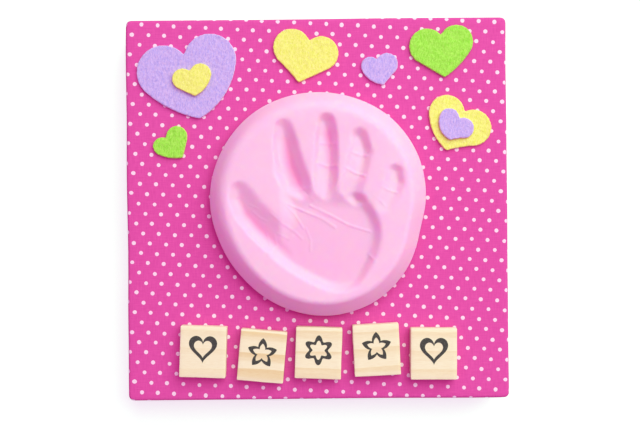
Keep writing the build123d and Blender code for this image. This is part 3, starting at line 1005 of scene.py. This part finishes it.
# Each line is its height, its half width, and then its points, in millimetres.
crease_lines = (
    (0.22, 0.54, (1.6, 25.4), (5.0, 24.9), (7.2, 25.0)),
    (0.25, 0.54, (0.8, 17.6), (4.0, 16.4), (7.6, 16.6)),
    (0.22, 0.54, (13.4, 21.8), (16.4, 20.6), (19.0, 20.2)),
    (0.27, 0.54, (11.4, 15.6), (14.6, 13.6), (18.2, 12.6)),
    (0.22, 0.48, (24.6, 8.4), (27.2, 7.0), (30.4, 6.0)),
    (0.14, 0.48, (21.6, 5.0), (24.6, 2.6), (26.4, 0.4)),
    (0.25, 0.48, (-11.4, 2.0), (-5.0, -0.9), (1.6, -3.6), (6.8, -7.2)),
    (0.22, 0.48, (-2.6, 1.2), (4.4, -2.2), (12.2, -6.4), (20.4, -9.0)),
    (0.16, 0.42, (-13.0, 2.6), (-8.6, -2.2), (-5.4, -7.4)),
    (0.14, 0.42, (-4.4, -7.6), (-2.6, -12.2), (-2.8, -16.0)),
    (0.16, 0.48, (-17.6, -1.6), (-13.2, -5.6), (-8.4, -9.0), (-6.0, -11.4)),
    (0.16, 0.48, (-10.6, 7.6), (-6.0, 7.4), (-2.8, 8.4)),
    (0.12, 0.42, (-19.6, -9.6), (-18.4, -13.6), (-18.8, -16.4)),
    (0.11, 0.42, (-16.6, -10.0), (-15.8, -14.6)),
    (0.10, 0.36, (-24.8, -1.0), (-22.0, -3.4), (-19.4, -4.6)),
    (0.10, 0.36, (-26.0, 1.8), (-23.0, 0.4)),
    (0.12, 0.42, (-15.2, -9.4), (-11.0, -11.6), (-9.6, -10.4)),
)


def ridge(across, up, height, half_width, corners):
    nearest = np.full(across.shape, 1.0)
    corners = np.array(corners) * mm
    for start, end in zip(corners, corners[1:]):
        share, off_x, off_y = from_line(across, up, start, end)
        nearest = np.minimum(nearest, np.hypot(off_x, off_y))
    return height * mm * np.exp(-(nearest / (half_width * mm)) ** 2)


creases = np.zeros_like(across)
for height, half_width, *corners in crease_lines:
    creases = np.maximum(creases, ridge(across, up, height, half_width, corners))
hills = np.array([
    noise.noise(Vector((x * broad_hills, y * broad_hills, 2.0)))
    + 0.4 * noise.noise(Vector((x * small_hills, y * small_hills, 5.0)))
    for x, y in zip(across, up)
])
on_top = np.clip(1 - roll * 1.6, 0, 1)
crease_share = np.clip(pressed / (1 * mm), 0, 1)
points[:, 2] += on_top * (hills * hill_height + creases * crease_share - pressed)
move_points(disc, points)
# How much of the painted hollow shade each point takes, by its depth.
painted_deep_shade_share = eased((pressed - painted_deep_shade_from) / painted_deep_shade_span) * on_top
print("deepest press in mm", round(pressed.max() / mm, 2))

# %% [markdown]
# The clay is painted a little deeper in colour where it is pressed in deep and where it slopes away:
# this is painted shade, for the shade that falls in the hollows and on the walls and rim. Both are
# worked out here, point by point, and kept as attributes for the material: how deep the point lies, and
# how far its normal leans.

# %% Side, foot and back of the disc
full_shade_lean = 0.82
edit(disc)
bpy.ops.mesh.select_mode(type="EDGE")
bpy.ops.mesh.select_non_manifold()
wall_height = disc_top - rim_drop - disc_bottom - foot_inset
for drop, shrink in ((wall_height, 0), (foot_inset * 0.45, 0.12), (foot_inset * 0.55, 0.88)):
    bpy.ops.mesh.extrude_edges_move()
    factor = 1 - shrink * foot_inset / disc_radius
    bpy.ops.transform.resize(value=(factor, factor, 1), center_override=(*disc_middle, 0))
    bpy.ops.transform.translate(value=(0, 0, -drop))
bpy.ops.mesh.edge_face_add()
put_down()
painted_deep_shade = np.zeros(len(disc.data.vertices))
painted_deep_shade[:len(painted_deep_shade_share)] = painted_deep_shade_share
# Painted shade: how far each normal leans sets how much of the deeper slope pink the material paints
# there.
lean = [math.hypot(point.normal.x, point.normal.y) for point in disc.data.vertices]
slope = (np.array(lean) / full_shade_lean) ** 3
for name, values in (("painted_deep_shade", painted_deep_shade), ("slope", np.clip(slope, 0, 1))):
    attribute = disc.data.attributes.new(name, "FLOAT", "POINT")
    attribute.data.foreach_set("value", values.astype(np.float32))
smooth_by_angle(disc, 60)
finish_piece(disc, pink_clay, "pink_clay", "clay_disc")

# %% [markdown]
# ## Felt hearts
#
# The hearts were cut with scissors from 1.2 mm craft felt and laid flat. Their outlines are
# already in the solid model, so each one is copied, its loose triangles are merged, and an even
# remesh gives it enough small faces for the fuzz. Noise lifts the surface in little tufts and
# frays the cut edge.


# %% Cutting the felt
felt_cell = 0.4 * mm
tuft_height = 0.14 * mm
drift_height = 0.16 * mm
fray_reach = 0.10 * mm
tuft_waves = 900
drift_waves = 160
fray_waves = 1500


def cut_heart(node, name, slot, seed):
    """Make the felt from a heart's solid. The seed gives it its own fuzz."""
    heart = bpy.data.objects.new(name, nodes[node].data.copy())
    bpy.context.scene.collection.objects.link(heart)
    heart.data.name = name
    low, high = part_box(node)
    cut_area = sum(face.area for face in heart.data.polygons if face.normal.z > 0.9)
    edit(heart)
    pick_all()
    bpy.ops.mesh.remove_doubles(threshold=0.001 * mm)
    bpy.ops.mesh.dissolve_limited(angle_limit=math.radians(1))
    put_down()
    remesh = heart.modifiers.new("even", "REMESH")
    remesh.mode = "VOXEL"
    remesh.voxel_size = felt_cell
    relax = heart.modifiers.new("relax", "SMOOTH")
    relax.factor = 0.5
    relax.iterations = 2
    apply_all(heart)
    points = points_of(heart)
    for spot in points:
        place = Vector(spot)
        tuft = noise.noise(place * tuft_waves + Vector((seed, 0, 0)))
        drift = noise.noise(place * drift_waves + Vector((0, seed, 0)))
        fray = noise.noise_vector(place * fray_waves + Vector((0, 0, seed)))
        top = (spot[2] - low.z) / (high.z - low.z)
        if top > 0.25:
            spot[2] += (tuft * tuft_height + drift * drift_height) * top
        spot[0] += fray.x * fray_reach
        spot[1] += fray.y * fray_reach
    points[:, 2] = np.maximum(points[:, 2], low.z)
    move_points(heart, points)
    # Painted light: the more a point's normal leans, the more of the paler edge colour it takes.
    edge = heart.data.attributes.new("edge_painted_light", "FLOAT", "POINT")
    for index, point in enumerate(heart.data.vertices):
        edge.data[index].value = min(max((0.9 - abs(point.normal.z)) / 0.4, 0), 1)
    smooth_by_angle(heart, 80)
    finish_piece(heart, felts[slot], slot, node)
    return heart, (high.x - low.x, high.y - low.y), cut_area


hearts = (
    ("heart_lilac_large", "lilac_heart_big", "felt_lilac", "cotton_cover", 0),
    ("heart_yellow_left", "yellow_heart_middle", "felt_yellow", "cotton_cover", 7.3),
    ("heart_lilac_small", "lilac_heart_small", "felt_lilac", "cotton_cover", 14.6),
    ("heart_green_large", "green_heart_big", "felt_green", "cotton_cover", 21.9),
    ("heart_yellow_right", "yellow_heart_right", "felt_yellow", "cotton_cover", 29.2),
    ("heart_green_small", "green_heart_small", "felt_green", "cotton_cover", 36.5),
    ("heart_yellow_inner", "yellow_heart_inner", "felt_yellow", "lilac_heart_big", 60),
    ("heart_lilac_inner", "lilac_heart_inner", "felt_lilac", "yellow_heart_right", 67.3),
)
for node, name, slot, under, seed in hearts:
    heart, flat, area = cut_heart(node, name, slot, seed)

# %% [markdown]
# ## Wooden tiles
#
# The tiles are 18 by 20 mm pieces of pale pine, sawn, sanded and printed in black. Each tile is
# modelled from a box with its upright edges rounded and its top edge just broken, and the same steps
# make one at each of the five places. Each tile carries one plain printed outline: a heart, a star or a
# flower.

# %% The motifs
motif_size = 5.5 * mm
motif_hole_share = 0.64
ink_thickness = 0.03 * mm
motif_points = 80


def heart_shape(turn):
    across = 16 * math.sin(turn) ** 3
    up = 13 * math.cos(turn) - 5 * math.cos(2 * turn) - 2 * math.cos(3 * turn) - math.cos(4 * turn)
    return across / 16, (up + 2) / 15


def star_shape(turn):
    point = (turn * 5 / math.tau) % 1
    reach = 0.52 + 0.56 * abs(2 * point - 1)
    return reach * math.sin(turn), reach * math.cos(turn)


def flower_shape(turn):
    reach = 0.86 + 0.2 * math.cos(6 * turn)
    return reach * math.sin(turn), reach * math.cos(turn)


def print_motif(name, shape, centre, turn, top):
    put_down()
    bpy.ops.mesh.primitive_circle_add(vertices=motif_points, radius=motif_size, fill_type="NOTHING")
    motif = bpy.context.object
    for index, point in enumerate(motif.data.vertices):
        across, up = shape(index * math.tau / motif_points)
        point.co = (across * motif_size, up * motif_size, 0)
    edit(motif)
    pick_all()
    bpy.ops.mesh.duplicate_move()
    bpy.ops.transform.resize(value=(motif_hole_share, motif_hole_share, 1), center_override=(0, 0, 0))
    pick_all()
    bpy.ops.mesh.bridge_edge_loops()
    pick_all()
    bpy.ops.mesh.extrude_region_move(TRANSFORM_OT_translate={"value": (0, 0, ink_thickness)})
    pick_all()
    bpy.ops.mesh.normals_make_consistent(inside=False)
    put_down()
    motif.location = (centre.x, centre.y, top)
    motif.rotation_euler = (0, 0, turn)
    return fix_place(motif, name)


# %% The tiles
tile_size = Vector((18 * mm, 20 * mm))
tile_turns_deg = (-2.3, -5.5, -2.4, 2.4, -0.6)
tile_motifs = (heart_shape, star_shape, flower_shape, star_shape, heart_shape)
tile_tans = (0.2, 0.75, 0.5, 0.4, 0.35)
tile_corner = 0.45 * mm
tile_edge = 0.25 * mm
tile_cells = 9
tile_wobble = 0.10 * mm
wobble_waves = 120
motif_rise = 1.2 * mm
ink_lift = 0.02 * mm


def make_tile(number, turn, shape, tan_share):
    node = "wooden_tile_%d" % number
    low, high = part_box(node)
    centre = (low + high) / 2
    put_down()
    bpy.ops.mesh.primitive_cube_add(size=1, location=centre, rotation=(0, 0, turn),
                                    scale=(tile_size.x, tile_size.y, high.z - low.z))
    tile = bpy.context.object
    bpy.ops.object.transform_apply(location=False, rotation=False, scale=True)
    edit(tile)
    pick(tile, "edges", lambda edge: abs(edge.verts[0].co.z - edge.verts[1].co.z) > 1 * mm)
    bpy.ops.mesh.bevel(offset=tile_corner, segments=4)
    pick(tile, "edges", lambda edge: abs(edge.verts[0].co.z - edge.verts[1].co.z) < 0.1 * mm)
    bpy.ops.mesh.bevel(offset=tile_edge, segments=3)
    turned = Matrix.Rotation(turn, 3, "Z")
    for step in range(1, tile_cells):
        for side, normal in ((tile_size.x, Vector((1, 0, 0))), (tile_size.y, Vector((0, 1, 0)))):
            spot = normal * side * (step / tile_cells - 0.5)
            cut_through(centre + turned @ spot, turned @ normal)
    tile = fix_place(tile, "pine_tile_%d" % number)
    points = points_of(tile)
    for spot in points:
        push = noise.noise_vector(Vector(spot) * wobble_waves + Vector((number * 3.1, 0, 0)))
        spot[0] += push.x * tile_wobble
        spot[1] += push.y * tile_wobble
        if spot[2] > centre.z:
            spot[2] += push.z * tile_wobble / 2
    move_points(tile, points)
    smooth_by_angle(tile, 40)
    pine = pine_finish("tile_pine_%d" % number, colour(246, 240, 208), colour(230, 204, 152),
                       7.4, tuple(centre), turn, tan_share)
    finish_piece(tile, pine, "tile_pine", node)
    motif_centre = centre + turned @ Vector((0, motif_rise, 0))
    motif = print_motif("tile_print_%d" % number, shape, motif_centre, turn, high.z + ink_lift)
    finish_piece(motif, printed_ink, "tile_pine")


tiles = zip(tile_turns_deg, tile_motifs, tile_tans)
for number, (turn, shape, tan_share) in enumerate(tiles, start=1):
    make_tile(number, math.radians(turn), shape, tan_share)
